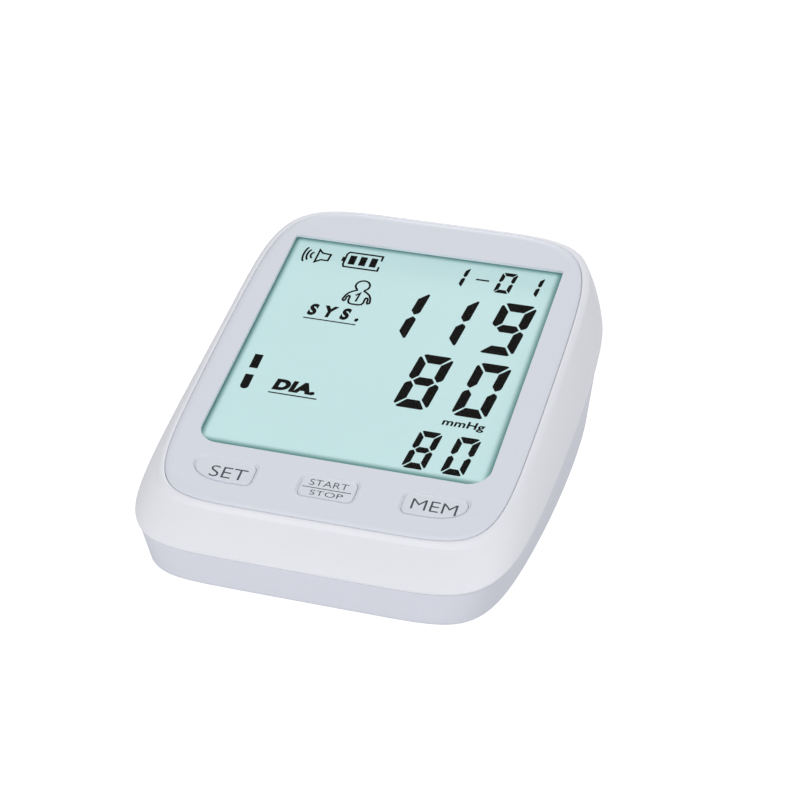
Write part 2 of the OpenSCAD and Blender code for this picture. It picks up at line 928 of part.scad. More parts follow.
// From the manifold down and forward to the sensor under the board
module sensor_tube()
    color("#d8dcd2")
        tube([[manifold[0] + 2.2, manifold[1] + 1.2, air_z - 5.2],
              [manifold[0] + 2.2, manifold[1] + 1.2, air_z - 6.5], [28.4, -2.4, 8.6], [28, -6, 6.6],
              [25, -12, 6], [22, -17, 6.4], [20, -19.8, 8], [20, -20.1, 9.7], [20, -20.4, 11]],
             1.8);

// From the manifold to the air socket in the left wall
module socket_tube()
    color("#d8dcd2")
        tube([[manifold[0] - 2.2, manifold[1] - 1.2, air_z - 5.2],
              [manifold[0] - 2.2, manifold[1] - 1.2, air_z - 6.5], [23, -5.5, 8.6], [20, -11, 6.4],
              [10, -14, 6], [-10, -18, 6.4], [-24, -22, 8], [-30, -socket_y + 0.6, 9],
              [-32, -socket_y, socket_z], [-32.85, -socket_y, socket_z]],
             1.8);

module air_socket()
    color("#3d4046")
        translate([0, -socket_y, socket_z])
            rotate([0, 90, 0])
                difference() {
                    union() {
                        translate([0, 0, -51.1])
                            cylinder(r = 4.2, h = 8);
                        translate([0, 0, -46.4])
                            cylinder(r = 4.7, h = 1.5);
                        translate([0, 0, -44])
                            cylinder(r = 3.6, h = 6);
                        translate([0, 0, -39])
                            cylinder(r = 1.5, h = 5.95);
                    }
                    translate([0, 0, -52])
                        cylinder(r = socket_r, h = 12);
                    translate([0, 0, -41])
                        cylinder(r = 0.9, h = 9);
                }

// ---------- power ----------

module usb_shell()
    color("#c4c7cc")
        translate([0, usb_rear - 7.4, usb_z])
            rotate([-90, 0, 0])
                difference() {
                    linear_extrude(7.4)
                        round_rect(usb_w, usb_h, 1.5);
                    translate([0, 0, 0.8])
                        linear_extrude(8)
                            round_rect(usb_w - 0.66, usb_h - 0.66, 1.2);
                }

module usb_tongue()
    color("#1b1c1e")
        box(-3.3, 3.3, usb_rear - 6.58, usb_rear - 1, usb_z - 0.35, usb_z + 0.35);

module usb_board()
    color("#1f6b43")
        box(-8, 8, 55.6, 61, usb_z - usb_h / 2 - 1, usb_z - usb_h / 2);

module usb_leads()
    color("#b03030")
        for (s = [-1, 1])
            lead([[s * 6, 56.2, usb_z - usb_h / 2 + 0.15], [s * 6, 55, 9.5], [s * 6, 54.2, 14],
                  [s * 6, 53.4, 19], [s * 6, 49, 20.6], [s * 6, 30, 20.6], [s * 6, 10, 20.8],
                  [s * 6, -4, 21.2], [s * 6, -8.3, 21.4]]);

// Cells lie along Y, side by side, and point to the rear and the front in turn
module cell_place(i)
    translate([cell_x0 + i * cell_pitch, bay_mid, cell_z])
        scale([1, i % 2 == 0 ? 1 : -1, 1])
            children();

module cell(i)
    color("#7c8794")
        cell_place(i) {
            rod_y(cell_r, -22.4, 27.1);
            rod_y(2.7, 27, 28.3);
        }

module battery_1() cell(0);
module battery_2() cell(1);
module battery_3() cell(2);
module battery_4() cell(3);

module contact_bridges()
    color("#c9ccd0") {
        for (i = [0, 2])
            box(cell_x0 + i * cell_pitch - 5.5, cell_x0 + (i + 1) * cell_pitch + 5.5,
                bay_rear - 0.4, bay_rear, cell_z - 5, cell_z + 5);
        box(cell_x0 + cell_pitch - 5.5, cell_x0 + 2 * cell_pitch + 5.5,
            bay_front, bay_front + 0.4, cell_z - 5, cell_z + 5);
    }

module terminal_contacts()
    color("#c9ccd0")
        for (i = [0, 3])
            box(cell_x0 + i * cell_pitch - 5.5, cell_x0 + i * cell_pitch + 5.5,
                bay_front, bay_front + 0.4, cell_z - 5, cell_z + 5);

module contact_springs()
    color("#d5d8dc")
        for (i = [0:3])
            cell_place(i)
                translate([0, -27.95, 0])
                    rotate([-90, 0, 0])
                        coil(4.6, 2.6, 5.1, 3.5, 0.4);

module battery_leads()
    color("#b03030")
        for (x = [cell_x0, cell_x0 + 3 * cell_pitch])
            lead([[x, door_front, 15.6], [x, door_front - 0.8, 15.8], [x, door_front - 1.6, 17.4],
                  [x, door_front - 1.8, 19.8]]);

// Slides to the left on two tongues. The plate carries grip grooves.
module battery_door()
    color("#c9ccd8")
        intersection() {
            lower_solid();
            difference() {
                union() {
                    box(-60, door_right - door_gap, door_front, door_rear, 0, foot_h + door_t);
                    box(-60, door_right - door_gap, door_front - tongue, door_rear + tongue,
                        foot_h + 1.05, foot_h + door_t);
                }
                for (i = [0:4])
                    box(-38 + i * 2.4, -37 + i * 2.4, bay_mid - 9, bay_mid + 9, 0, foot_h + 0.6);
            }
        }

// ---------- the whole monitor ----------

upper_case();
lower_case();
front_panel();
display_lens();
lcd_glass();
backlight();
lcd_holder();
lcd_ribbon();
main_board();
controller_chip();
board_parts();
switch_bodies();
set_switch_stem();
start_switch_stem();
memory_switch_stem();
set_button();
start_button();
memory_button();
pressure_sensor();
speaker_frame();
speaker_cone();
speaker_leads();
motor_can();
motor_end_cap();
motor_magnets();
motor_rotor();
pump_eccentric();
pump_base();
pump_diaphragm();
pump_cover();
pump_sleeve();
pump_leads();
valve_yoke();
valve_coil();
valve_plunger();
valve_spring();
valve_cap();
air_manifold();
pump_tube();
valve_tube();
sensor_tube();
socket_tube();
air_socket();
usb_shell();
usb_tongue();
usb_board();
usb_leads();
battery_1();
battery_2();
battery_3();
battery_4();
contact_bridges();
terminal_contacts();
contact_springs();
battery_leads();
battery_door();
rubber_feet();
case_screws();
board_screws();
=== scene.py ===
import json
import math
from functools import partial

import bmesh
import bpy
from mathutils import Matrix, Vector
from mathutils.geometry import delaunay_2d_cdt


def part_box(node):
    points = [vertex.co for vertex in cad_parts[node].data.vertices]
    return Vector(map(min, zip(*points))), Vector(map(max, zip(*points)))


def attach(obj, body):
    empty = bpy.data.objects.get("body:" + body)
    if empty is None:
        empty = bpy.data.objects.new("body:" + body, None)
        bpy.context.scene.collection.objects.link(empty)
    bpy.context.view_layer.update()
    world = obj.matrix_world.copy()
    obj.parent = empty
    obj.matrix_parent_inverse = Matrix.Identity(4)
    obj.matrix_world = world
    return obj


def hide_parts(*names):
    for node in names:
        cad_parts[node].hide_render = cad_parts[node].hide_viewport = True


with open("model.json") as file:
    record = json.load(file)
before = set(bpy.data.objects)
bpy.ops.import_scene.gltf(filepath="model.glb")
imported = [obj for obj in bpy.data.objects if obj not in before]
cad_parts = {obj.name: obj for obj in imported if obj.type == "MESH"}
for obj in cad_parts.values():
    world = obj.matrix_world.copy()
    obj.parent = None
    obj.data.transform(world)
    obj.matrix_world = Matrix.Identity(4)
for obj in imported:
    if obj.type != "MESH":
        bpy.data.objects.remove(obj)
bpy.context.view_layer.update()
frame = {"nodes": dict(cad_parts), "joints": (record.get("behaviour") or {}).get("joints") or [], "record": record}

# Sizes below are in millimetres unless they say otherwise, and MM takes them to metres.
MM = 0.001
NODES = frame["nodes"]


# ---------- measures taken from the frame ----------

def box_mm(node):
    low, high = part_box(node)
    return Vector(low) / MM, Vector(high) / MM


def joint(name):
    return next(j for j in frame["joints"] if j["name"] == name)


def mount_mm(name):
    found = next(m for m in frame["record"]["mounts"] if m["name"] == name)
    return Vector(found["pos_m"]) / MM


PRESS = Vector(joint("set_key_press")["axis"])
TILT = math.atan2(PRESS.y, -PRESS.z)
LENS_DEPTH = 1.35
lens_low, lens_high = box_mm("display_lens")
PANEL_ORIGIN = (lens_low + lens_high) / 2 - PRESS * LENS_DEPTH
case_low, case_high = box_mm("upper_case")
BODY_W = case_high.x - case_low.x
BODY_L = case_high.y - case_low.y

# An outline's shape: squareness of its front and rear corners, and how far its ends draw in
WAIST_SHAPE = (7, 5.2, 3.1)
BASE_SHAPE = (8, 6, 4.6)
PANEL_SHAPE = (7.5, 5.8, 0.9)
OUTLINE_POINTS = 192
# Case
WAIST_TILT = math.radians(8)
WAIST_FRONT_Z = 11
WALL = 2.2
BASE_W = 99
BASE_FRONT_INSET = 1.2
BASE_REAR_INSET = 3
FOOT_H = 1
FLOOR_Z = FOOT_H + WALL
FRONT_SCREW = (41, -47)
REAR_SCREW = (33, 56.5)
SCREW_WELL_R = 2.9
FEET = ("foot_front_left", "foot_front_right", "foot_rear_left", "foot_rear_right")
FOOT_WELL_R = 4.6
AIR_HOLE_R = 4.35
# Past the case on its left, and below it, for solids that cut through its wall
FAR_LEFT = -60
BELOW = -1
# Panel, window and keys
PANEL_W = 90.6
PANEL_FRONT = 60
PANEL_REAR = 54
PANEL_T = 2
WINDOW_W = 76
WINDOW_L = 81.4
WINDOW_R = 5.5
WINDOW_TOP_R = 0.4
WINDOW_SHIFT = (-0.25, 0.4)
KEY_V = -49.5
KEY_L = 8
KEY_R = 2
KEY_SWEEP = 9.5
MIDDLE_KEY_W = 15.6
OUTER_KEY_W = 17.2
OUTER_KEY_X = 27.4
KEY_TOP = 0
# Printed layers: how thick they are, and the heights of their tops on the panel
INK_T = 0.02
INK_TOP = -2.01
LABEL_TOP = KEY_TOP + 0.015
SIGN_STROKE = 0.58
RULE_STROKE = 0.4
KEY_RULE_STROKE = 0.22
DIGIT_LEAN = 0.11
# Shading: the angle past which an edge is sharp, in degrees
SHARP_ANGLE = 35
SHARP_ANGLE_CUT = 28


# ---------- outlines ----------

def spow(value, power):
    """A power that keeps the value's sign."""
    return math.copysign(abs(value) ** power, value)


def outline(half_w, front, rear, shape):
    """A rounded outline. Its corners get squarer with n, and its ends are narrower by bow."""
    front_n, rear_n, bow = shape
    # A power under 1 crowds the points into the corners.
    crowd = 0.7
    points = []
    for i in range(OUTLINE_POINTS):
        angle = 2 * math.pi * i / OUTLINE_POINTS
        c = spow(math.cos(angle), crowd)
        s = spow(math.sin(angle), crowd)
        n = front_n if s < 0 else rear_n
        k = (abs(c) ** n + abs(s) ** n) ** (-1 / n)
        reach = front if s < 0 else rear
        points.append((c * k * (half_w - bow * (s * k) ** 2), s * k * reach))
    return points


def panel_pt(u, v, w):
    """A point across, along and above the sloping panel, in millimetres of the frame."""
    c, s = math.cos(TILT), math.sin(TILT)
    return PANEL_ORIGIN + Vector((u, v * c - w * s, v * s + w * c))


def waist_ring(grow, rise):
    """The outline at the sloping waist, where the two halves of the case meet."""
    half_l = BODY_L / 2 + grow
    ring = []
    for x, y in outline(BODY_W / 2 + grow, half_l, half_l, WAIST_SHAPE):
        z = WAIST_FRONT_Z + (y + BODY_L / 2) * math.tan(WAIST_TILT) + rise
        ring.append(Vector((x, y, z)))
    return ring


def base_ring(grow, z):
    """The outline at the foot of the case, at height z."""
    front = BODY_L / 2 - BASE_FRONT_INSET + grow
    rear = BODY_L / 2 - BASE_REAR_INSET + grow
    return [Vector((x, y, z)) for x, y in outline(BASE_W / 2 + grow, front, rear, BASE_SHAPE)]


def panel_outline(grow):
    return outline(PANEL_W / 2 + grow, PANEL_FRONT + grow, PANEL_REAR + grow, PANEL_SHAPE)


def rim_ring(grow, w):
    """The panel's outline, at height w on the panel."""
    return [panel_pt(u, v, w) for u, v in panel_outline(grow)]


def mix(ring_a, ring_b, share):
    return [a.lerp(b, share) for a, b in zip(ring_a, ring_b)]


def bulge(ring_a, middle, ring_b, steps):
    """Rings on a smooth curve from ring_a to ring_b, both left out, through middle half way."""
    rings = []
    for i in range(1, steps):
        t = i / steps
        row = []
        for a, m, b in zip(ring_a, middle, ring_b):
            pull = m * 2 - (a + b) / 2
            row.append(a * (1 - t) ** 2 + pull * (2 * t * (1 - t)) + b * t * t)
        rings.append(row)
    return rings


def arc(cx, cy, rx, ry, start, end, steps=10):
    points = []
    for i in range(steps + 1):
        angle = math.radians(start + (end - start) * i / steps)
        points.append((cx + rx * math.cos(angle), cy + ry * math.sin(angle)))
    return points


def key_outline(side, inset):
    """A key's outline shrunk by inset. side is -1 for the left key, 0 for the middle one and 1
    for the right one. The lower outer corner of an outer key is a wide sweep."""
    w = (OUTER_KEY_W if side else MIDDLE_KEY_W) / 2 - inset
    length = KEY_L / 2 - inset
    r = max(KEY_R - inset / 2, 0.6)
    sweep = (KEY_SWEEP - inset, 2 * length - r - 0.4) if side else (r, r)
    points = arc(w - r, length - r, r, r, 0, 90)
    points += arc(-w + r, length - r, r, r, 90, 180)
    points += arc(-w + sweep[0], -length + sweep[1], sweep[0], sweep[1], 180, 270, 20)
    points += arc(w - r, -length + r, r, r, 270, 360)
    if side > 0:
        points = [(-x, y) for x, y in reversed(points)]
    return [(x + side * OUTER_KEY_X, y + KEY_V) for x, y in points]


def window_outline(grow):
    w = WINDOW_W / 2 + grow
    length = WINDOW_L / 2 + grow
    r = WINDOW_R + grow
    top_r = WINDOW_TOP_R + grow
    points = arc(w - top_r, length - top_r, top_r, top_r, 0, 90, 4)
    points += arc(-w + top_r, length - top_r, top_r, top_r, 90, 180, 4)
    points += arc(-w + r, -length + r, r, r, 180, 270)
    points += arc(w - r, -length + r, r, r, 270, 360)
    return [(x + WINDOW_SHIFT[0], y + WINDOW_SHIFT[1]) for x, y in points]


# ---------- mesh tools ----------

class Skin:
    """Collects points and faces of one mesh, in millimetres."""

    def __init__(self):
        self.points = []
        self.faces = []
        self.marks = []

    def ring(self, points):
        start = len(self.points)
        self.points += [Vector(p) for p in points]
        return list(range(start, start + len(points)))

    def face(self, corners, mark=0):
        self.faces.append(tuple(corners))
        self.marks.append(mark)

    def band(self, a, b, mark=0):
        for i in range(len(a)):
            j = (i + 1) % len(a)
            self.face((a[i], a[j], b[j], b[i]), mark)

    def bands(self, rings, closed=False, mark=0):
        rows = [self.ring(r) for r in rings]
        for a, b in zip(rows, rows[1:]):
            self.band(a, b, mark)
        if closed:
            self.band(rows[-1], rows[0], mark)
        return rows

    def solid(self, rings):
        """A closed solid on rings from one end of it to the other."""
        rows = self.bands(rings)
        self.face(rows[0][::-1])
        self.face(rows[-1])

    def flat_fill(self, outer, holes, flat):
        """Fills between loops of point numbers. flat gives each point's place in the plane."""
        loops = [outer] + holes
        numbers = [i for loop in loops for i in loop]
        edges = []
        start = 0
        for loop in loops:
            edges += [(start + k, start + (k + 1) % len(loop)) for k in range(len(loop))]
            start += len(loop)
        plane = [Vector(flat[i]) for i in numbers]
        made, _, triangles, origin, _, _ = delaunay_2d_cdt(plane, edges, [], 2, 1e-7)
        for triangle in triangles:
            middle = sum((made[k] for k in triangle), Vector((0, 0))) / 3
            if any(inside(middle, [flat[i] for i in hole]) for hole in holes):
                continue
            self.face([numbers[origin[k][0]] for k in triangle])

    def build(self, name, materials, weighted=True):
        mesh = bpy.data.meshes.new(name)
        mesh.from_pydata([p * MM for p in self.points], [], self.faces)
        mesh.validate()
        for polygon, mark in zip(mesh.polygons, self.marks):
            polygon.material_index = mark
        obj = bpy.data.objects.new(name, mesh)
        bpy.context.scene.collection.objects.link(obj)
        face_outwards(mesh)
        for material in materials:
            mesh.materials.append(material)
        smooth(obj, SHARP_ANGLE, weighted)
        return obj


def inside(point, loop):
    hit = False
    for (x0, y0), (x1, y1) in zip(loop, loop[1:] + loop[:1]):
        if (y0 > point.y) != (y1 > point.y):
            if point.x < x0 + (point.y - y0) * (x1 - x0) / (y1 - y0):
                hit = not hit
    return hit


def face_outwards(mesh):
    bm = bmesh.new()
    bm.from_mesh(mesh)
    bmesh.ops.recalc_face_normals(bm, faces=bm.faces)
    bm.to_mesh(mesh)
    bm.free()


def smooth(obj, angle, weighted=True):
    """Smooth shading up to an angle in degrees, evened out over broad faces if weighted."""
    mesh = obj.data
    mesh.polygons.foreach_set("use_smooth", [True] * len(mesh.polygons))
    mesh.set_sharp_from_angle(angle=math.radians(angle))
    if weighted:
        modifier = obj.modifiers.new("even_shading", "WEIGHTED_NORMAL")
        modifier.keep_sharp = True
        modifier.weight = 80


def combine(obj, tool, operation):
    """Joins the object tool to obj, cuts it away from obj, or keeps what both share."""
    modifier = obj.modifiers.new("cut", "BOOLEAN")
    modifier.object = tool
    modifier.operation = operation
    modifier.solver = "EXACT"
    modifier.use_self = True
    graph = bpy.context.evaluated_depsgraph_get()
    mesh = bpy.data.meshes.new_from_object(obj.evaluated_get(graph))
    obj.modifiers.clear()
    obj.data = mesh
    bpy.data.objects.remove(tool)


def boolean(obj, skin, operation):
    combine(obj, skin.build("tool", [], weighted=False), operation)


def add_box(skin, low, high):
    (x0, y0, z0), (x1, y1, z1) = low, high
    skin.solid([[(x0, y0, z), (x1, y0, z), (x1, y1, z), (x0, y1, z)] for z in (z0, z1)])


def add_prism(skin, loop, place, low, high):
    """A prism on a flat loop. place(x, y, height) says where its points go."""
    skin.solid([[place(x, y, height) for x, y in loop] for height in (low, high)])


def upright(x, y, z):
    return Vector((x, y, z))


def along_x(y, z, x):
    return Vector((x, y, z))


def along_y(x, z, y):
    return Vector((x, y, z))


def circle(cx, cy, r):
    steps = 48
    return arc(cx, cy, r, r, 0, 360 - 360 / steps, steps - 1)


def slot_shape(cx, cy, w, length):
    """A slot with round ends, long in y."""
    r = w / 2
    points = arc(cx, cy + length / 2 - r, r, r, 0, 180, 8)
    return points + arc(cx, cy - length / 2 + r, r, r, 180, 360, 8)


def add_turned(skin, profile, centre, axis, mark=0):
    """Turns a profile of (radius, distance along axis) round an axis. Its ends lie on the axis."""
    steps = 64
    axis = Vector(axis)
    side = axis.orthogonal().normalized()
    across = axis.cross(side)
    rows = []
    for r, along in profile[1:-1]:
        row = []
        for i in range(steps):
            angle = 2 * math.pi * i / steps
            offset = side * (r * math.cos(angle)) + across * (r * math.sin(angle))
            row.append(Vector(centre) + axis * along + offset)
        rows.append(row)
    made = skin.bands(rows, mark=mark)
    for (_, along), row in ((profile[0], made[0]), (profile[-1], made[-1])):
        tip = skin.ring([Vector(centre) + axis * along])[0]
        for i in range(steps):
            skin.face((row[i], row[(i + 1) % steps], tip), mark)


def finish_piece(obj, body, slot, *nodes):
    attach(obj, body)
    if nodes:
        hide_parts(*nodes)


# ---------- materials ----------

def srgb(r, g, b):
    def linear(value):
        value /= 255
        return value / 12.92 if value <= 0.04045 else ((value + 0.055) / 1.055) ** 2.4
    return (linear(r), linear(g), linear(b), 1)


def add_math(tree, operation, *values):
    """A math node on one or two values, each a socket or a number. Gives its output."""
    node = tree.nodes.new("ShaderNodeMath")
    node.operation = operation
    for value, socket in zip(values, node.inputs):
        if isinstance(value, (int, float)):
            socket.default_value = value
        else:
            tree.links.new(value, socket)
    return node.outputs["Value"]


def add_range(tree, value, from_min, from_max, to_min, to_max, interpolation="LINEAR"):
    """A node that takes one range of values to another. Gives its output."""
    node = tree.nodes.new("ShaderNodeMapRange")
    node.interpolation_type = interpolation
    node.inputs["From Min"].default_value = from_min
    node.inputs["From Max"].default_value = from_max
    node.inputs["To Min"].default_value = to_min
    node.inputs["To Max"].default_value = to_max
    tree.links.new(value, node.inputs["Value"])
    return node.outputs["Result"]


def surface(name, color, roughness, spread=0.06, grain=0.35, bump=0.06, tone=0.03, blotch=14,
            stretch=(1, 1, 1), **sockets):
    """A material with fine grain in its bump and roughness, and slow drifts of its colour.
    grain and blotch are the sizes of the small and the large pattern, in millimetres. tone and
    spread are how far the colour and the roughness drift each way. sockets are the shader's."""
    material = bpy.data.materials.new(name)
    material.use_nodes = True
    tree = material.node_tree
    shader = tree.nodes["Principled BSDF"]
    place = tree.nodes.new("ShaderNodeTexCoord")
    mapping = tree.nodes.new("ShaderNodeMapping")
    mapping.inputs["Scale"].default_value = stretch
    tree.links.new(place.outputs["Object"], mapping.inputs["Vector"])

    def noise(size, detail):
        node = tree.nodes.new("ShaderNodeTexNoise")
        node.inputs["Scale"].default_value = 1 / (size * MM)
        node.inputs["Detail"].default_value = detail
        tree.links.new(mapping.outputs["Vector"], node.inputs["Vector"])
        return node.outputs["Fac"]

    fine = noise(grain, 3)
    slow = noise(blotch, 4)
    # Nearly all of a noise's values are between these two.
    noise_low, noise_high = 0.3, 0.7

    ramp = tree.nodes.new("ShaderNodeValToRGB")
    ramp.color_ramp.elements[0].position = noise_low
    ramp.color_ramp.elements[1].position = noise_high
    ramp.color_ramp.elements[0].color = [c * (1 - tone) for c in color[:3]] + [1]
    ramp.color_ramp.elements[1].color = [min(c * (1 + tone), 1) for c in color[:3]] + [1]
    tree.links.new(slow, ramp.inputs["Fac"])
    tree.links.new(ramp.outputs["Color"], shader.inputs["Base Color"])

    drift = add_range(tree, fine, noise_low, noise_high,
                      max(roughness - spread, 0.02), min(roughness + spread, 1))
    tree.links.new(drift, shader.inputs["Roughness"])

    relief = tree.nodes.new("ShaderNodeBump")
    relief.inputs["Strength"].default_value = bump
    relief.inputs["Distance"].default_value = grain * MM * 0.5
    tree.links.new(fine, relief.inputs["Height"])
    tree.links.new(relief.outputs["Normal"], shader.inputs["Normal"])
    for socket, value in sockets.items():
        shader.inputs[socket.replace("_", " ")].default_value = value
    return material


MATERIALS = {
    "case_white": surface("case_white", srgb(237, 238, 243), 0.5, grain=0.3, bump=0.10, tone=0.008,
                          Specular_IOR_Level=0.25),
    "case_grey": surface("case_grey", srgb(219, 221, 231), 0.5, grain=0.3, bump=0.10, tone=0.008,
                         Specular_IOR_Level=0.25),
    "panel_grey": surface("panel_grey", srgb(224, 227, 235), 0.5, grain=0.25, bump=0.10, tone=0.008,
                          Specular_IOR_Level=0.25),
    "key_grey": surface("key_grey", srgb(223, 226, 234), 0.45, grain=0.25, bump=0.05, tone=0.008,
                        Specular_IOR_Level=0.3),
    "window": surface("window", srgb(60, 72, 72), 0.04, 0.01, bump=0.0, tone=0.002,
                      Alpha=0.04, Coat_Weight=0.05),
    # The display's emission is a painted glow: it brightens the screen and evens out its shading, and no lamp is
    # modelled in it.
    "display": surface("display", srgb(167, 191, 192), 0.5, grain=0.12, bump=0.02, tone=0.012,
                       blotch=30, Emission_Color=srgb(190, 224, 223), Emission_Strength=0.52),
    "light_guide": surface("light_guide", srgb(238, 246, 246), 0.5, tone=0.01),
    "white_plastic": surface("white_plastic", srgb(230, 230, 224), 0.45, tone=0.02),
    "ribbon": surface("ribbon", srgb(176, 116, 48), 0.25, tone=0.08, blotch=3, Coat_Weight=0.3),
    "board": surface("board", srgb(28, 100, 66), 0.32, grain=0.5, bump=0.15, tone=0.15, blotch=4,
                     Coat_Weight=0.3),
    "chip": surface("chip", srgb(34, 35, 38), 0.55, grain=0.15, bump=0.15, tone=0.05),
    "board_parts": surface("board_parts", srgb(112, 100, 86), 0.4, tone=0.15, blotch=3),
    "black_plastic": surface("black_plastic", srgb(40, 41, 44), 0.45, bump=0.12, tone=0.05),
    "cone": surface("cone", srgb(36, 37, 40), 0.6, bump=0.2, tone=0.06, blotch=2),
    "wire": surface("wire", srgb(168, 44, 42), 0.4, bump=0.05, tone=0.05),
    "steel": surface("steel", srgb(196, 198, 202), 0.28, 0.1, grain=0.2, bump=0.05, tone=0.04,
                     stretch=(1, 8, 1), Metallic=1.0),
    "magnet": surface("magnet", srgb(74, 75, 80), 0.6, bump=0.25, tone=0.1, blotch=2, Metallic=0.6),
    "winding": surface("winding", srgb(190, 116, 60), 0.3, grain=0.25, bump=0.5, tone=0.12,
                       blotch=1, stretch=(1, 1, 8), Metallic=0.8),
    "diaphragm": surface("diaphragm", srgb(140, 76, 62), 0.65, bump=0.12, tone=0.06),
    "soft_rubber": surface("soft_rubber", srgb(70, 72, 78), 0.7, grain=0.2, bump=0.2, tone=0.06),
    "spring": surface("spring", srgb(208, 210, 214), 0.22, 0.08, grain=0.15, bump=0.04, tone=0.03,
                      Metallic=1.0),
    "silicone": surface("silicone", srgb(214, 218, 208), 0.4, bump=0.05, tone=0.03,
                        Subsurface_Weight=0.2),
    "socket_grey": surface("socket_grey", srgb(72, 75, 82), 0.4, grain=0.25, bump=0.1, tone=0.04),
    "cell": surface("cell", srgb(62, 74, 92), 0.3, 0.05, bump=0.03, tone=0.06, Coat_Weight=0.4),
    "cell_band": surface("cell_band", srgb(206, 148, 66), 0.28, 0.05, bump=0.03, tone=0.05,
                         Coat_Weight=0.4),
    "ink": surface("ink", srgb(18, 11, 10), 0.9, grain=0.1, bump=0.02, tone=0.08, blotch=2,
                   Specular_IOR_Level=0.05),
    "key_print": surface("key_print", srgb(64, 68, 80), 0.6, grain=0.08, bump=0.08, tone=0.06,
                         blotch=1),
    "gold": surface("gold", srgb(220, 176, 92), 0.25, 0.06, bump=0.05, tone=0.05, Metallic=1.0),
}


def shade_display_edges(material):
    """Darkens the display towards the edges of the window, where the frame keeps the light off."""
    tree = material.node_tree
    shader = tree.nodes["Principled BSDF"]
    place = tree.nodes.new("ShaderNodeTexCoord")
    across = Vector((1, 0, 0))
    along = Vector((0, math.cos(TILT), math.sin(TILT)))
    # The lit part's middle on the panel, its reach each way, and where the fade at its edge is
    lit_middle = (-0.8, 2.0)
    lit_reach = (38.1, 40.5)
    fade_start, fade_end = -1.8, 0.3
    fades = []
    for direction, middle, reach in zip((across, along), lit_middle, lit_reach):
        dot = tree.nodes.new("ShaderNodeVectorMath")
        dot.operation = "DOT_PRODUCT"
        dot.inputs[1].default_value = direction
        tree.links.new(place.outputs["Object"], dot.inputs[0])
        centre = (middle + PANEL_ORIGIN.dot(direction)) * MM
        offset = add_math(tree, "SUBTRACT", dot.outputs["Value"], centre)
        size = add_math(tree, "ABSOLUTE", offset)
        fades.append(add_range(tree, size, (reach + fade_start) * MM, (reach + fade_end) * MM,
                               1, 0, "SMOOTHSTEP"))
    # painted_edge_shade is the painted shade: dark teal at the window's edges, fading to none inside.
    painted_edge_shade = tree.nodes.new("ShaderNodeValToRGB")
    painted_edge_shade.color_ramp.elements[0].color = srgb(118, 158, 156)
    painted_edge_shade.color_ramp.elements[1].color = (1, 1, 1, 1)
    tree.links.new(add_math(tree, "MULTIPLY", *fades), painted_edge_shade.inputs["Fac"])
    base = shader.inputs["Base Color"].links[0].from_socket
    # glow carries the display's painted glow, which takes the same painted shade at the edges.
    glow = tree.nodes.new("ShaderNodeRGB")
    glow.outputs["Color"].default_value = shader.inputs["Emission Color"].default_value
    for source, socket in ((base, "Base Color"), (glow.outputs["Color"], "Emission Color")):
        product = tree.nodes.new("ShaderNodeVectorMath")
        product.operation = "MULTIPLY"
        tree.links.new(source, product.inputs[0])
        tree.links.new(painted_edge_shade.outputs["Color"], product.inputs[1])
        tree.links.new(product.outputs["Vector"], shader.inputs[socket])


shade_display_edges(MATERIALS["display"])
SLOT_OF = {s["node"]: s["material_slot"] for s in frame["record"]["subparts"]}
for node_name, node_object in NODES.items():
    node_object.data.materials.clear()
    node_object.data.materials.append(MATERIALS[SLOT_OF[node_name]])


# ---------- case ----------

def make_upper_case():
    """Rings from the waist up the bulging side, over the rim, and back down the inside."""
    wall_foot = 0.9
    side_low = waist_ring(0, wall_foot)
    side_high = rim_ring(2, -1.5)
    bulge_out = 0.45
    middle = mix(waist_ring(bulge_out, wall_foot), rim_ring(2 + bulge_out, -1.5), 0.5)
    inner_low = waist_ring(-WALL, wall_foot)
    inner_high = rim_ring(-0.4, -4.1)
    inner_middle = mix(waist_ring(-WALL + 0.3, wall_foot), inner_high, 0.5)
    lower_edge = ((-0.9, 0.075), (-0.45, 0.1), (-0.2, 0.22), (-0.06, 0.45))
    rim = ((1.9, -1.38), (1.6, -1.12), (1.3, -0.89), (1.05, -0.72), (0.8, -0.59), (0.56, -0.52),
           (0.36, -0.52), (0.2, -0.6), (0.1, -0.76), (0.07, -0.95), (0.07, -2.1), (-2.6, -2.1),
           (-2.6, -4.1))
    rings = [waist_ring(grow, rise) for grow, rise in lower_edge]
    rings += [side_low] + bulge(side_low, middle, side_high, 10) + [side_high]
    rings += [rim_ring(grow, w) for grow, w in rim]
    rings += [inner_high] + bulge(inner_high, inner_middle, inner_low, 6)
    rings += [inner_low, waist_ring(-WALL, 0.075)]
    skin = Skin()
    skin.bands(rings, closed=True)
    shell = skin.build("upper_shell", [MATERIALS["case_white"]])
    finish_piece(shell, "case", "case_white", "upper_case")


def outer_wall():
    """Rings of the lower case's outside, from the bottom up to the waist."""
    lower_edge = ((-1.7, 1.0), (-1.2, 1.04), (-0.75, 1.2), (-0.38, 1.5), (-0.12, 2.0))
    foot = base_ring(0, 2.6)
    top = waist_ring(-0.5, -0.5)
    steps = 6
    rings = [base_ring(grow, z) for grow, z in lower_edge]
    rings += [foot] + [mix(foot, top, i / steps) for i in range(1, steps)] + [top]
    return rings + [waist_ring(-0.56, -0.25), waist_ring(-0.8, -0.1)]


def make_lower_case():
    lip = ((-2.35, -0.075), (-2.35, 0.6), (-2.55, 0.8), (-3.35, 0.8), (-3.35, -0.8), (-2.7, -1.5))
    rings = outer_wall() + [waist_ring(grow, rise) for grow, rise in lip]
    rings += [base_ring(-WALL, FLOOR_Z + 1), base_ring(-WALL - 0.8, FLOOR_Z)]
    skin = Skin()
    skin.solid(rings)
    shell = skin.build("lower_shell", [MATERIALS["case_grey"]], weighted=False)
    add_battery_bay(shell)
    cut_wells(shell)
    cut_sockets(shell)
    smooth(shell, SHARP_ANGLE_CUT)
    finish_piece(shell, "case", "case_grey", "lower_case")


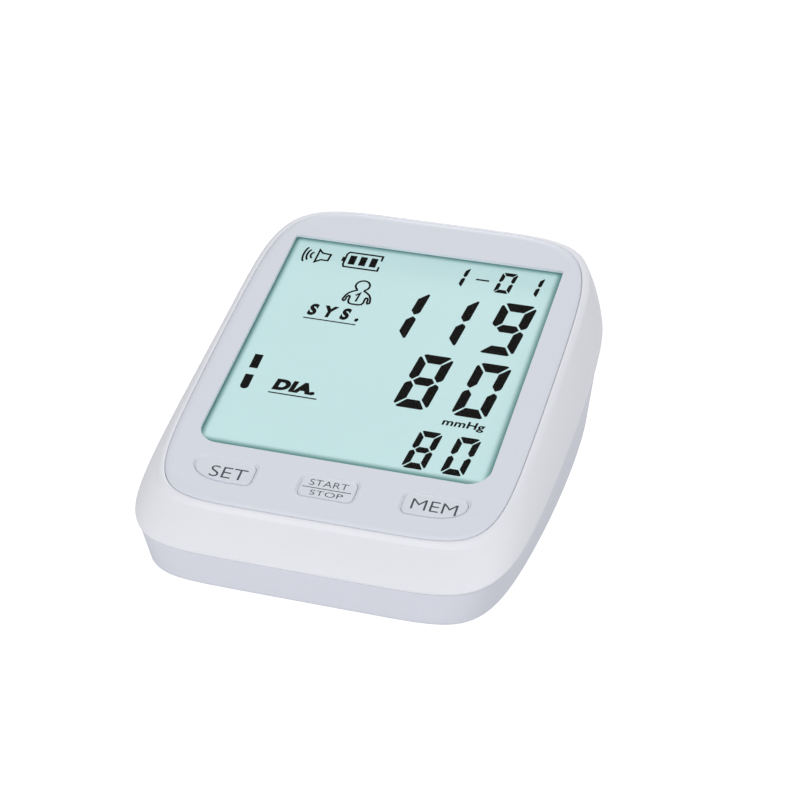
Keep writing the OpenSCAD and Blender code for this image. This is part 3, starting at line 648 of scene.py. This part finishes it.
def add_battery_bay(shell):
    """The walls round the cells, the thicker floor that holds the door, and the door's way in."""
    room, wall, gap = 0.3, 1.2, 0.15
    cell_high = box_mm("battery_4")[1]
    left = box_mm("battery_1")[0].x - room
    right = cell_high.x + room
    roof = cell_high.z + room
    front = box_mm("terminal_contacts")[0].y
    rear = box_mm("contact_bridges")[1].y
    door_low, door_high = box_mm("battery_door")
    door_end = door_high.x + gap

    walls = Skin()
    add_box(walls, (left - wall, front - wall, FLOOR_Z - 1),
            (right + wall, rear + wall, roof + wall))
    boolean(shell, walls, "UNION")

    # The thicker floor stops inside the case's own outline.
    plate = Skin()
    reach = wall + 2.6
    add_box(plate, (left - 3, front - reach, FLOOR_Z - 1),
            (door_high.x + 2, rear + reach, FLOOR_Z + 1.4))
    floor = plate.build("floor", [], weighted=False)
    core = Skin()
    core.solid([base_ring(-1, FLOOR_Z - 2), base_ring(-1, FLOOR_Z + 2)])
    boolean(floor, core, "INTERSECT")
    combine(shell, floor, "UNION")

    cells = ((left, front, BELOW), (right, rear, roof))
    door_way = ((FAR_LEFT, front - wall - gap, BELOW), (door_end, rear + wall + gap, FLOOR_Z))
    tongue_way = ((FAR_LEFT, door_low.y - gap, 1.9), (door_end, door_high.y + gap, FLOOR_Z + 0.01))
    for low, high in (cells, door_way, tongue_way):
        space = Skin()
        add_box(space, low, high)
        boolean(shell, space, "DIFFERENCE")


def cut_wells(shell):
    """Wells for the screws and the feet, and the slots under the speaker."""
    screw_well_top, foot_well_top, slot_top = 6, FOOT_H + 0.8, 3.6
    cut = Skin()
    for side in (-1, 1):
        for x, y in (FRONT_SCREW, REAR_SCREW):
            add_prism(cut, circle(side * x, y, SCREW_WELL_R), upright, BELOW, screw_well_top)
    for name in FEET:
        at = mount_mm(name)
        add_prism(cut, circle(at.x, at.y, FOOT_WELL_R), upright, BELOW, foot_well_top)
    low, high = box_mm("speaker_frame")
    speaker = (low + high) / 2
    pitch, width, longest, shorter_by = 3.2, 1.4, 14, 2.4
    for i in range(-2, 3):
        length = longest - shorter_by * abs(i)
        shape = slot_shape(speaker.x + i * pitch, speaker.y, width, length)
        add_prism(cut, shape, upright, BELOW, slot_top)
    boolean(shell, cut, "DIFFERENCE")


def cut_sockets(shell):
    """The round hole for the air socket on the left, and the slot for the power socket behind."""
    cut = Skin()
    socket = mount_mm("air_socket_bore")
    wall_inside = -44
    add_prism(cut, circle(socket.y, socket.z, AIR_HOLE_R), along_x, FAR_LEFT, wall_inside)
    port = mount_mm("power_port")
    offset, r, reach = 3.2, 1.95, 6
    mouth = arc(port.x + offset, port.z, r, r, -90, 90)
    mouth += arc(port.x - offset, port.z, r, r, 90, 270)
    add_prism(cut, mouth, along_y, port.y - reach, port.y + reach)
    boolean(shell, cut, "DIFFERENCE")


def make_battery_door():
    """The part of the case's outside within the door's own box, with a tongue on each side."""
    skin = Skin()
    skin.solid(outer_wall())
    door = skin.build("door_plate", [MATERIALS["case_grey"]], weighted=False)
    low, high = box_mm("battery_door")
    tongue = 1.2
    body = Skin()
    add_box(body, (FAR_LEFT, low.y + tongue, 0.5), (high.x, high.y - tongue, high.z))
    add_box(body, (FAR_LEFT, low.y, FOOT_H + 1.05), (high.x, high.y, high.z))
    boolean(door, body, "INTERSECT")

    grip = Skin()
    middle = (low.y + high.y) / 2
    grooves, pitch, width, first_x = 6, 2.4, 1.1, -38
    groove_depth, arrow_depth = 0.55, 0.4
    for i in range(grooves):
        length = 20 - abs(i - (grooves - 1) / 2) * pitch
        shape = slot_shape(first_x + i * pitch, middle, width, length)
        add_prism(grip, shape, upright, 0, FOOT_H + groove_depth)
    arrow = [(-44.6, middle), (-41, middle - 3), (-41, middle + 3)]
    add_prism(grip, arrow, upright, 0, FOOT_H + arrow_depth)
    boolean(door, grip, "DIFFERENCE")
    smooth(door, SHARP_ANGLE_CUT)
    finish_piece(door, "door", "case_grey", "battery_door")


def make_feet():
    skin = Skin()
    profile = [(0, 0.12), (2.6, 0.12), (2.8, 0.0), (3.6, 0.0), (3.95, 0.1), (4.2, 0.35),
               (4.35, 0.7), (4.4, 1.0), (4.4, 1.75), (0, 1.75)]
    for name in FEET:
        add_turned(skin, profile, mount_mm(name), (0, 0, 1))
    feet = skin.build("foot_pads", [MATERIALS["soft_rubber"]])
    finish_piece(feet, "case", "soft_rubber", "rubber_feet")


# ---------- panel, window and keys ----------

def stack(skin, flat, shape, profile):
    """Adds bands on a profile of (size, height on the panel). shape(size) gives each loop, and
    flat keeps where each of its points is in the panel's plane."""
    rows = []
    for size, w in profile:
        points = shape(size)
        numbers = skin.ring([panel_pt(u, v, w) for u, v in points])
        flat.update(zip(numbers, points))
        rows.append(numbers)
    for a, b in zip(rows, rows[1:]):
        skin.band(a, b)
    return rows


def make_panel():
    """The frame round the display, with a rounded shoulder, the window and three key pockets."""
    skin = Skin()
    flat = {}
    shoulder, drop, steps = 2.2, 0.75, 10
    edge = [(0, -PANEL_T), (0, -1.2)]
    for i in range(steps + 1):
        angle = math.pi / 2 * i / steps
        edge.append((-shoulder * (1 - math.cos(angle)), drop * (math.sin(angle) - 1)))
    window_edge = [(0.5, 0), (0.42, -0.02), (0.34, -0.08), (0.3, -0.2), (0.3, -0.9), (2.1, -0.9),
                   (2.1, -PANEL_T)]
    key_pocket = [(-0.3, 0), (-0.16, -0.03), (-0.02, -0.12), (0.1, -0.26), (0.2, -0.4),
                  (0.32, -0.49), (0.5, -0.52), (0.5, -PANEL_T)]
    outside = stack(skin, flat, panel_outline, edge)
    window = stack(skin, flat, window_outline, window_edge)
    keys = [stack(skin, flat, partial(key_outline, side), key_pocket) for side in (-1, 0, 1)]
    skin.flat_fill(outside[-1], [window[0]] + [k[0] for k in keys], flat)
    skin.flat_fill(outside[0], [window[-1]] + [k[-1] for k in keys], flat)
    panel = skin.build("panel_frame", [MATERIALS["panel_grey"]])
    finish_piece(panel, "case", "panel_grey", "front_panel")


def make_key(name, side, node, body):
    """A cap with rounded edges, and under it a flange that keeps it in the panel."""
    skin = Skin()
    flat = {}
    profile = [(1.3, -2.9), (0.05, -2.9), (0.05, -2.1), (0.6, -2.1), (0.6, -0.5), (0.63, -0.34),
               (0.7, -0.2), (0.82, -0.1), (0.98, -0.03), (1.2, KEY_TOP)]
    rows = stack(skin, flat, partial(key_outline, side), profile)
    skin.flat_fill(rows[-1], [], flat)
    skin.flat_fill(rows[0], [], flat)
    key = skin.build(name, [MATERIALS["key_grey"]])
    finish_piece(key, body, "key_grey", node)


def fitted_text(skin, body, low, high, top, lean=0, weight=0, spacing=1):
    """Adds the letters of body to skin, stretched to fill the rectangle from low to high. lean
    slants them, weight makes their strokes bolder, and spacing sets them apart."""
    curve = bpy.data.curves.new("letters", "FONT")
    curve.body = body
    curve.offset = weight
    curve.space_character = spacing
    curve.resolution_u = 6
    carrier = bpy.data.objects.new("letters", curve)
    bpy.context.scene.collection.objects.link(carrier)
    graph = bpy.context.evaluated_depsgraph_get()
    mesh = bpy.data.meshes.new_from_object(carrier.evaluated_get(graph))
    points = [(v.co.x + lean * v.co.y, v.co.y) for v in mesh.vertices]
    x0, x1 = min(p[0] for p in points), max(p[0] for p in points)
    y0, y1 = min(p[1] for p in points), max(p[1] for p in points)
    placed = []
    for x, y in points:
        u = low[0] + (x - x0) / (x1 - x0) * (high[0] - low[0])
        v = low[1] + (y - y0) / (y1 - y0) * (high[1] - low[1])
        placed.append((u, v))
    upper = skin.ring([panel_pt(u, v, top) for u, v in placed])
    lower = skin.ring([panel_pt(u, v, top - INK_T) for u, v in placed])
    uses = {}
    for polygon in mesh.polygons:
        corners = list(polygon.vertices)
        skin.face([upper[i] for i in corners])
        skin.face([lower[i] for i in reversed(corners)])
        for a, b in zip(corners, corners[1:] + corners[:1]):
            uses.setdefault((min(a, b), max(a, b)), []).append((a, b))
    for pairs in uses.values():
        if len(pairs) == 1:
            a, b = pairs[0]
            skin.face((upper[a], lower[a], lower[b], upper[b]))
    bpy.data.objects.remove(carrier)
    bpy.data.meshes.remove(mesh)


def line(skin, points, width, top, closed=False):
    """A flat stroke of even width along points, with mitred corners."""
    count = len(points)
    sides = ([], [])
    for i, point in enumerate(points):
        here = Vector(point)
        before = Vector(points[i - 1]) if closed or i else None
        after = Vector(points[(i + 1) % count]) if closed or i < count - 1 else None
        ahead = (after - here).normalized() if after else (here - before).normalized()
        behind = (here - before).normalized() if before else ahead
        turn = (ahead + behind).normalized()
        normal = Vector((-turn.y, turn.x))
        reach = width / 2 / max(normal.dot(Vector((-ahead.y, ahead.x))), 0.4)
        sides[0].append(here + normal * reach)
        sides[1].append(here - normal * reach)
    rows = []
    base = top - INK_T
    for side, w in ((sides[0], top), (sides[1], top), (sides[1], base), (sides[0], base)):
        rows.append(skin.ring([panel_pt(p.x, p.y, w) for p in side]))
    spans = range(count if closed else count - 1)
    for a, b in zip(rows, rows[1:] + rows[:1]):
        for i in spans:
            j = (i + 1) % count
            skin.face((a[i], a[j], b[j], b[i]))
    if not closed:
        skin.face([row[0] for row in rows])
        skin.face([row[-1] for row in reversed(rows)])


def make_label(name, body, words, rule=None):
    """The print on a key: words with the rectangles they fill, and a rule between them."""
    skin = Skin()
    for text, low, high in words:
        fitted_text(skin, text, low, high, LABEL_TOP, weight=-0.008)
    if rule:
        line(skin, rule, KEY_RULE_STROKE, LABEL_TOP)
    label = skin.build(name, [MATERIALS["key_print"]], weighted=False)
    finish_piece(label, body, "key_grey")


# ---------- display ----------

# Which bars of a seven-bar digit are lit: a top, b and c right, d bottom, e and f left, g middle
BARS = {"0": "abcdef", "1": "bc", "8": "abcdefg", "9": "abcdfg"}


def digit_bars(w, h, t):
    """Outlines of the seven bars of a digit w wide and h high, with upright strokes t wide."""
    gap = 0.13 * t
    half = h / 2
    flat = 1.22 * t
    top = [(0.42 * t + gap, h), (w - 0.42 * t - gap, h), (w - 0.22 * t - gap, h - 0.12 * flat),
           (w - t - gap, h - flat), (t + gap, h - flat), (0.22 * t + gap, h - 0.12 * flat)]
    right = [(w, h - 0.42 * flat - gap), (w - 0.06 * t, h - 0.26 * flat - gap),
             (w - 0.22 * t, h - 0.24 * flat - gap), (w - t, h - flat - gap),
             (w - t, half + 0.5 * flat + gap), (w - 0.5 * t, half + gap),
             (w - 0.12 * t, half + 0.2 * flat + gap), (w, half + 0.42 * flat + gap)]
    middle = [(0.55 * t + gap, half), (t + gap, half + 0.46 * flat),
              (w - t - gap, half + 0.46 * flat), (w - 0.55 * t - gap, half),
              (w - t - gap, half - 0.46 * flat), (t + gap, half - 0.46 * flat)]

    def flip_x(shape):
        return [(w - x, y) for x, y in reversed(shape)]

    def flip_y(shape):
        return [(x, h - y) for x, y in reversed(shape)]

    return {"a": top, "b": right, "c": flip_y(right), "d": flip_y(top), "e": flip_y(flip_x(right)),
            "f": flip_x(right), "g": middle}


def add_patch(skin, points):
    add_prism(skin, points, panel_pt, INK_TOP - INK_T, INK_TOP)


def add_digit(skin, figure, x, y, w, h, t):
    """A seven-bar digit. x is its left edge at its base, and y the height of its base."""
    shapes = digit_bars(w, h, t)
    for bar in BARS[figure]:
        add_patch(skin, [(x + a + DIGIT_LEAN * b, y + b) for a, b in shapes[bar]])


def rectangle(x0, x1, y0, y1):
    return [(x0, y0), (x1, y0), (x1, y1), (x0, y1)]


def add_speaker_sign(skin):
    """A horn, and three sound waves to the left of it."""
    horn = [(-30.8, 38.5), (-29.7, 37.3), (-27.2, 37.1), (-27.4, 34.5), (-29.4, 34.5),
            (-30.9, 33.3)]
    line(skin, horn, SIGN_STROKE, INK_TOP, closed=True)
    for x, reach in ((-31.9, 1.25), (-33.0, 2.15), (-34.0, 3.0)):
        wave = arc(x, 35.9, 0.85, reach, 100, 260, 10)
        line(skin, wave, SIGN_STROKE, INK_TOP)


def add_battery_sign(skin):
    """An outline with a gap at the right, a pole at the left, and three charge bars."""
    line(skin, [(-12.6, 37.2), (-12.6, 39.2), (-22.3, 39.2), (-22.8, 38.3), (-22.8, 34.0),
                (-22.4, 33.1), (-12.6, 33.1), (-12.6, 34.8)], SIGN_STROKE, INK_TOP)
    add_patch(skin, rectangle(-23.7, -22.9, 35.2, 37.0))
    first_x, pitch, width = -21.6, 3.05, 1.9
    for i in range(3):
        x = first_x + i * pitch
        add_patch(skin, rectangle(x, x + width, 34.3, 38.0))


def add_user_sign(skin):
    """A head and shoulders, with the figure one on the chest."""
    middle = -14.6
    head = arc(middle, 26.4, 1.95, 2.05, -62, 242, 28)
    left = [(-15.4, 24.5), (-16.6, 23.8), (-17.5, 23.0), (-18.1, 21.9), (-18.45, 20.4),
            (-18.35, 19.8), (-17.95, 19.6), (-17.7, 20.0), (-17.6, 21.2), (-17.3, 21.8),
            (-16.95, 21.8), (-16.75, 21.3), (-16.75, 19.8), (-16.4, 19.0), (-15.6, 18.7)]
    right = [(2 * middle - x, y) for x, y in reversed(left)]
    line(skin, head, SIGN_STROKE, INK_TOP)
    line(skin, left + right, SIGN_STROKE, INK_TOP)
    line(skin, [(-15.4, 22.3), (-14.4, 23.3), (-14.7, 19.9)], SIGN_STROKE, INK_TOP)


def make_display_figures():
    skin = Skin()
    add_speaker_sign(skin)
    add_battery_sign(skin)
    add_user_sign(skin)
    # Each row's figures with their left edges, its base, and a figure's width, height and stroke:
    # the date, the two pressures and the pulse
    for row, base, size in (
        ((("1", 7.3), ("0", 20.7), ("1", 28.2)), 31.3, (4.4, 8.4, 1.1)),
        ((("1", -7.1), ("1", 6.7), ("9", 22.5)), 7.6, (9.6, 20.3, 2.6)),
        ((("8", 6.35), ("0", 21.95)), -16.4, (9.3, 20.3, 2.6)),
        ((("8", 14.8), ("0", 24.85)), -36.8, (6.1, 13.4, 1.7)),
    ):
        for figure, x in row:
            add_digit(skin, figure, x, base, *size)
    line(skin, [(15.0, 35.4), (18.7, 35.4)], SIGN_STROKE, INK_TOP)
    # Index bars at the left, the lower one with a round foot
    left, right = -34.6, -32.25
    foot = arc(-33.42, -17.6, 1.18, 1.1, 180, 360)
    add_patch(skin, rectangle(left, right, -10.8, -5.55))
    add_patch(skin, foot + [(right, -13.3), (left, -13.3)])
    for text, low, high, lean, weight, spacing in (
        ("SYS.", (-26.3, 12.1), (-11.7, 16.8), 0.12, 0.055, 1.9),
        ("DIA.", (-26.1, -17.4), (-14.4, -13.2), 0.12, 0.07, 1.1),
        ("mmHg", (20.8, -21.1), (32.0, -17.9), 0.08, 0.025, 1.05),
    ):
        fitted_text(skin, text, low, high, INK_TOP, lean, weight, spacing)
    line(skin, [(-26.7, 10.9), (-11.9, 10.9)], RULE_STROKE, INK_TOP)
    line(skin, [(-26.6, -18.5), (-13.3, -18.5)], RULE_STROKE, INK_TOP)
    figures = skin.build("display_figures", [MATERIALS["ink"]], weighted=False)
    finish_piece(figures, "case", "display")


# ---------- sockets, cells and small pieces ----------

def make_air_socket():
    """A blind bore with a rounded mouth, a collar in the case's wall, and a thin tail inside."""
    bore = mount_mm("air_socket_bore")
    mouth = -51.1
    bottom = mouth + 11.1
    collar_end, body_end, tail_end = mouth + 4.3, -38, -33.1
    bore_r, collar_r, body_r, tail_r = 2.4, 4.2, 3.6, 1.5
    profile = [(0, bottom), (bore_r, bottom), (bore_r, mouth + 0.5), (2.55, mouth + 0.2),
               (2.85, mouth), (3.7, mouth), (4.0, mouth + 0.12), (collar_r, mouth + 0.4),
               (collar_r, mouth + 4), (body_r, collar_end), (body_r, body_end),
               (tail_r, body_end), (tail_r, tail_end), (0, tail_end)]
    skin = Skin()
    add_turned(skin, profile, (0, bore.y, bore.z), (1, 0, 0))
    socket = skin.build("socket_collar", [MATERIALS["socket_grey"]])
    finish_piece(socket, "case", "socket_grey", "air_socket")


def make_cells():
    """Four cells, each the other way round than the last: base, sleeve, band and cap."""
    for number in range(1, 5):
        node = f"battery_{number}"
        low, high = box_mm(node)
        centre = (low + high) / 2
        r = (high.x - low.x) / 2
        rearward = number % 2
        length = high.y - low.y
        band = length - 15
        start = low.y if rearward else high.y
        axis = (0, 1, 0) if rearward else (0, -1, 0)
        base = (centre.x, start, centre.z)
        skin = Skin()
        add_turned(skin, [(0, 0.25), (4.4, 0.25), (4.7, 0.0), (r - 1.0, 0.0), (r - 0.5, 0.12),
                          (r - 0.35, 0.5), (r - 0.35, 1.2), (0, 1.2)], base, axis, mark=0)
        add_turned(skin, [(0, 0.6), (r - 0.6, 0.6), (r - 0.12, 0.75), (r, 1.1), (r, band),
                          (0, band)], base, axis, mark=1)
        add_turned(skin, [(0, band), (r, band), (r, length - 2.3),
                          (r - 0.15, length - 1.9), (r - 0.6, length - 1.6), (0, length - 1.6)],
                   base, axis, mark=2)
        add_turned(skin, [(0, length - 2), (r - 1.2, length - 2), (r - 1.3, length - 1.45),
                          (2.9, length - 1.3), (2.7, length - 1.1), (2.7, length - 0.25),
                          (2.45, length), (0, length)], base, axis, mark=0)
        cell = skin.build(f"cell_{number}", [MATERIALS["spring"], MATERIALS["cell"],
                                             MATERIALS["cell_band"]])
        finish_piece(cell, "case", "cell", node)


def make_usb_contacts():
    """Twelve contacts on each face of the tongue, let into it and a little proud of it."""
    low, high = box_mm("usb_tongue")
    skin = Skin()
    count, pitch, half_w = 12, 0.5, 0.12
    proud, sunk = 0.03, 0.05
    for i in range(count):
        x = (i - (count - 1) / 2) * pitch
        for z0, z1 in ((low.z - proud, low.z + sunk), (high.z - sunk, high.z + proud)):
            add_box(skin, (x - half_w, low.y + 1, z0), (x + half_w, high.y - 0.4, z1))
    contacts = skin.build("usb_contacts", [MATERIALS["gold"]], weighted=False)
    finish_piece(contacts, "case", "steel")


make_upper_case()
make_lower_case()
make_battery_door()
make_feet()
make_panel()
make_key("key_left", -1, "set_button", "set_key")
make_key("key_middle", 0, "start_button", "start_key")
make_key("key_right", 1, "memory_button", "memory_key")
make_label("label_left", "set_key", [("SET", (-30.6, -52.0), (-21.0, -48.3))])
make_label("label_middle", "start_key",
           [("START", (-4.9, -49.4), (5.1, -47.4)), ("STOP", (-3.9, -52.5), (4.6, -50.9))],
           rule=[(-6.3, -50.15), (6.3, -50.15)])
make_label("label_right", "memory_key", [("MEM", (21.7, -51.5), (33.2, -48.1))])
make_display_figures()
make_air_socket()
make_cells()
make_usb_contacts()


# ---------- floor, light and camera ----------

def make_floor():
    skin = Skin()
    reach = 1500
    corners = [(x, y, 0) for x, y in rectangle(-reach, reach, -reach, reach)]
    skin.face(skin.ring(corners))
    material = surface("floor_white", srgb(152, 152, 153), 0.9, 0.02, bump=0.0, tone=0.001,
                       Emission_Color=(1, 1, 1, 1))
    # The floor is white to the camera, and throws less light than that up onto the case.
    case_glow, camera_glow = 0.5, 0.9
    tree = material.node_tree
    path = tree.nodes.new("ShaderNodeLightPath")
    glow = add_range(tree, path.outputs["Is Camera Ray"], 0, 1, case_glow, camera_glow)
    tree.links.new(glow, tree.nodes["Principled BSDF"].inputs["Emission Strength"])
    skin.build("floor", [material], weighted=False)


def make_light(name, place, power, size):
    """A square light that faces the middle of the case. place and size are in metres."""
    lamp = bpy.data.lights.new(name, "AREA")
    lamp.energy = power
    lamp.shape = "SQUARE"
    lamp.size = size
    obj = bpy.data.objects.new(name, lamp)
    bpy.context.scene.collection.objects.link(obj)
    obj.location = place
    target = Vector((0, 0, 0.02))
    obj.rotation_euler = (target - Vector(place)).to_track_quat("-Z", "Y").to_euler()


def make_camera():
    """The camera looks past the display's middle from the front right, at a moderate height."""
    turn = math.radians(17)
    height = math.radians(31)
    distance = 542.7
    aside, above = 3.8, -12.3
    cos_t, sin_t = math.cos(turn), math.sin(turn)
    cos_h, sin_h = math.cos(height), math.sin(height)
    right = Vector((cos_t, sin_t, 0))
    up = Vector((-sin_t * sin_h, cos_t * sin_h, cos_h))
    look = Vector((-sin_t * cos_h, cos_t * cos_h, -sin_h))
    camera = bpy.data.cameras.new("camera")
    camera.lens = 93.2
    camera.clip_start = 0.01
    obj = bpy.data.objects.new("camera", camera)
    bpy.context.scene.collection.objects.link(obj)
    obj.matrix_world = Matrix((right, up, -look)).transposed().to_4x4()
    obj.location = (PANEL_ORIGIN + right * aside + up * above - look * distance) * MM
    bpy.context.scene.camera = obj


def make_world():
    world = bpy.data.worlds.new("studio")
    world.use_nodes = True
    tree = world.node_tree
    background = tree.nodes["Background"]
    background.inputs["Color"].default_value = (0.97, 0.98, 1.0, 1)
    place = tree.nodes.new("ShaderNodeTexCoord")
    split = tree.nodes.new("ShaderNodeSeparateXYZ")
    tree.links.new(place.outputs["Generated"], split.inputs["Vector"])
    # Brighter overhead, and darker to the left, which leaves a shaded edge down the left side
    overhead = add_range(tree, split.outputs["Z"], 0, 1, 0.46, 0.9)
    sideways = add_range(tree, split.outputs["X"], -1, 1, 0.25, 1.15)
    strength = add_math(tree, "MULTIPLY", overhead, sideways)
    # White to the camera, as the floor is, so that low views show no horizon
    path = tree.nodes.new("ShaderNodeLightPath")
    seen = add_math(tree, "MAXIMUM", strength, path.outputs["Is Camera Ray"])
    tree.links.new(seen, background.inputs["Strength"])
    bpy.context.scene.world = world


make_floor()
make_camera()
make_world()
make_light("key_light", (-0.18, -0.95, 0.72), 5.5, 0.5)
make_light("rear_light", (-0.22, 0.95, 0.5), 3.4, 0.2)
make_light("fill_light", (0.8, -0.2, 0.45), 0.3, 0.6)
bpy.context.scene.view_settings.view_transform = "Standard"
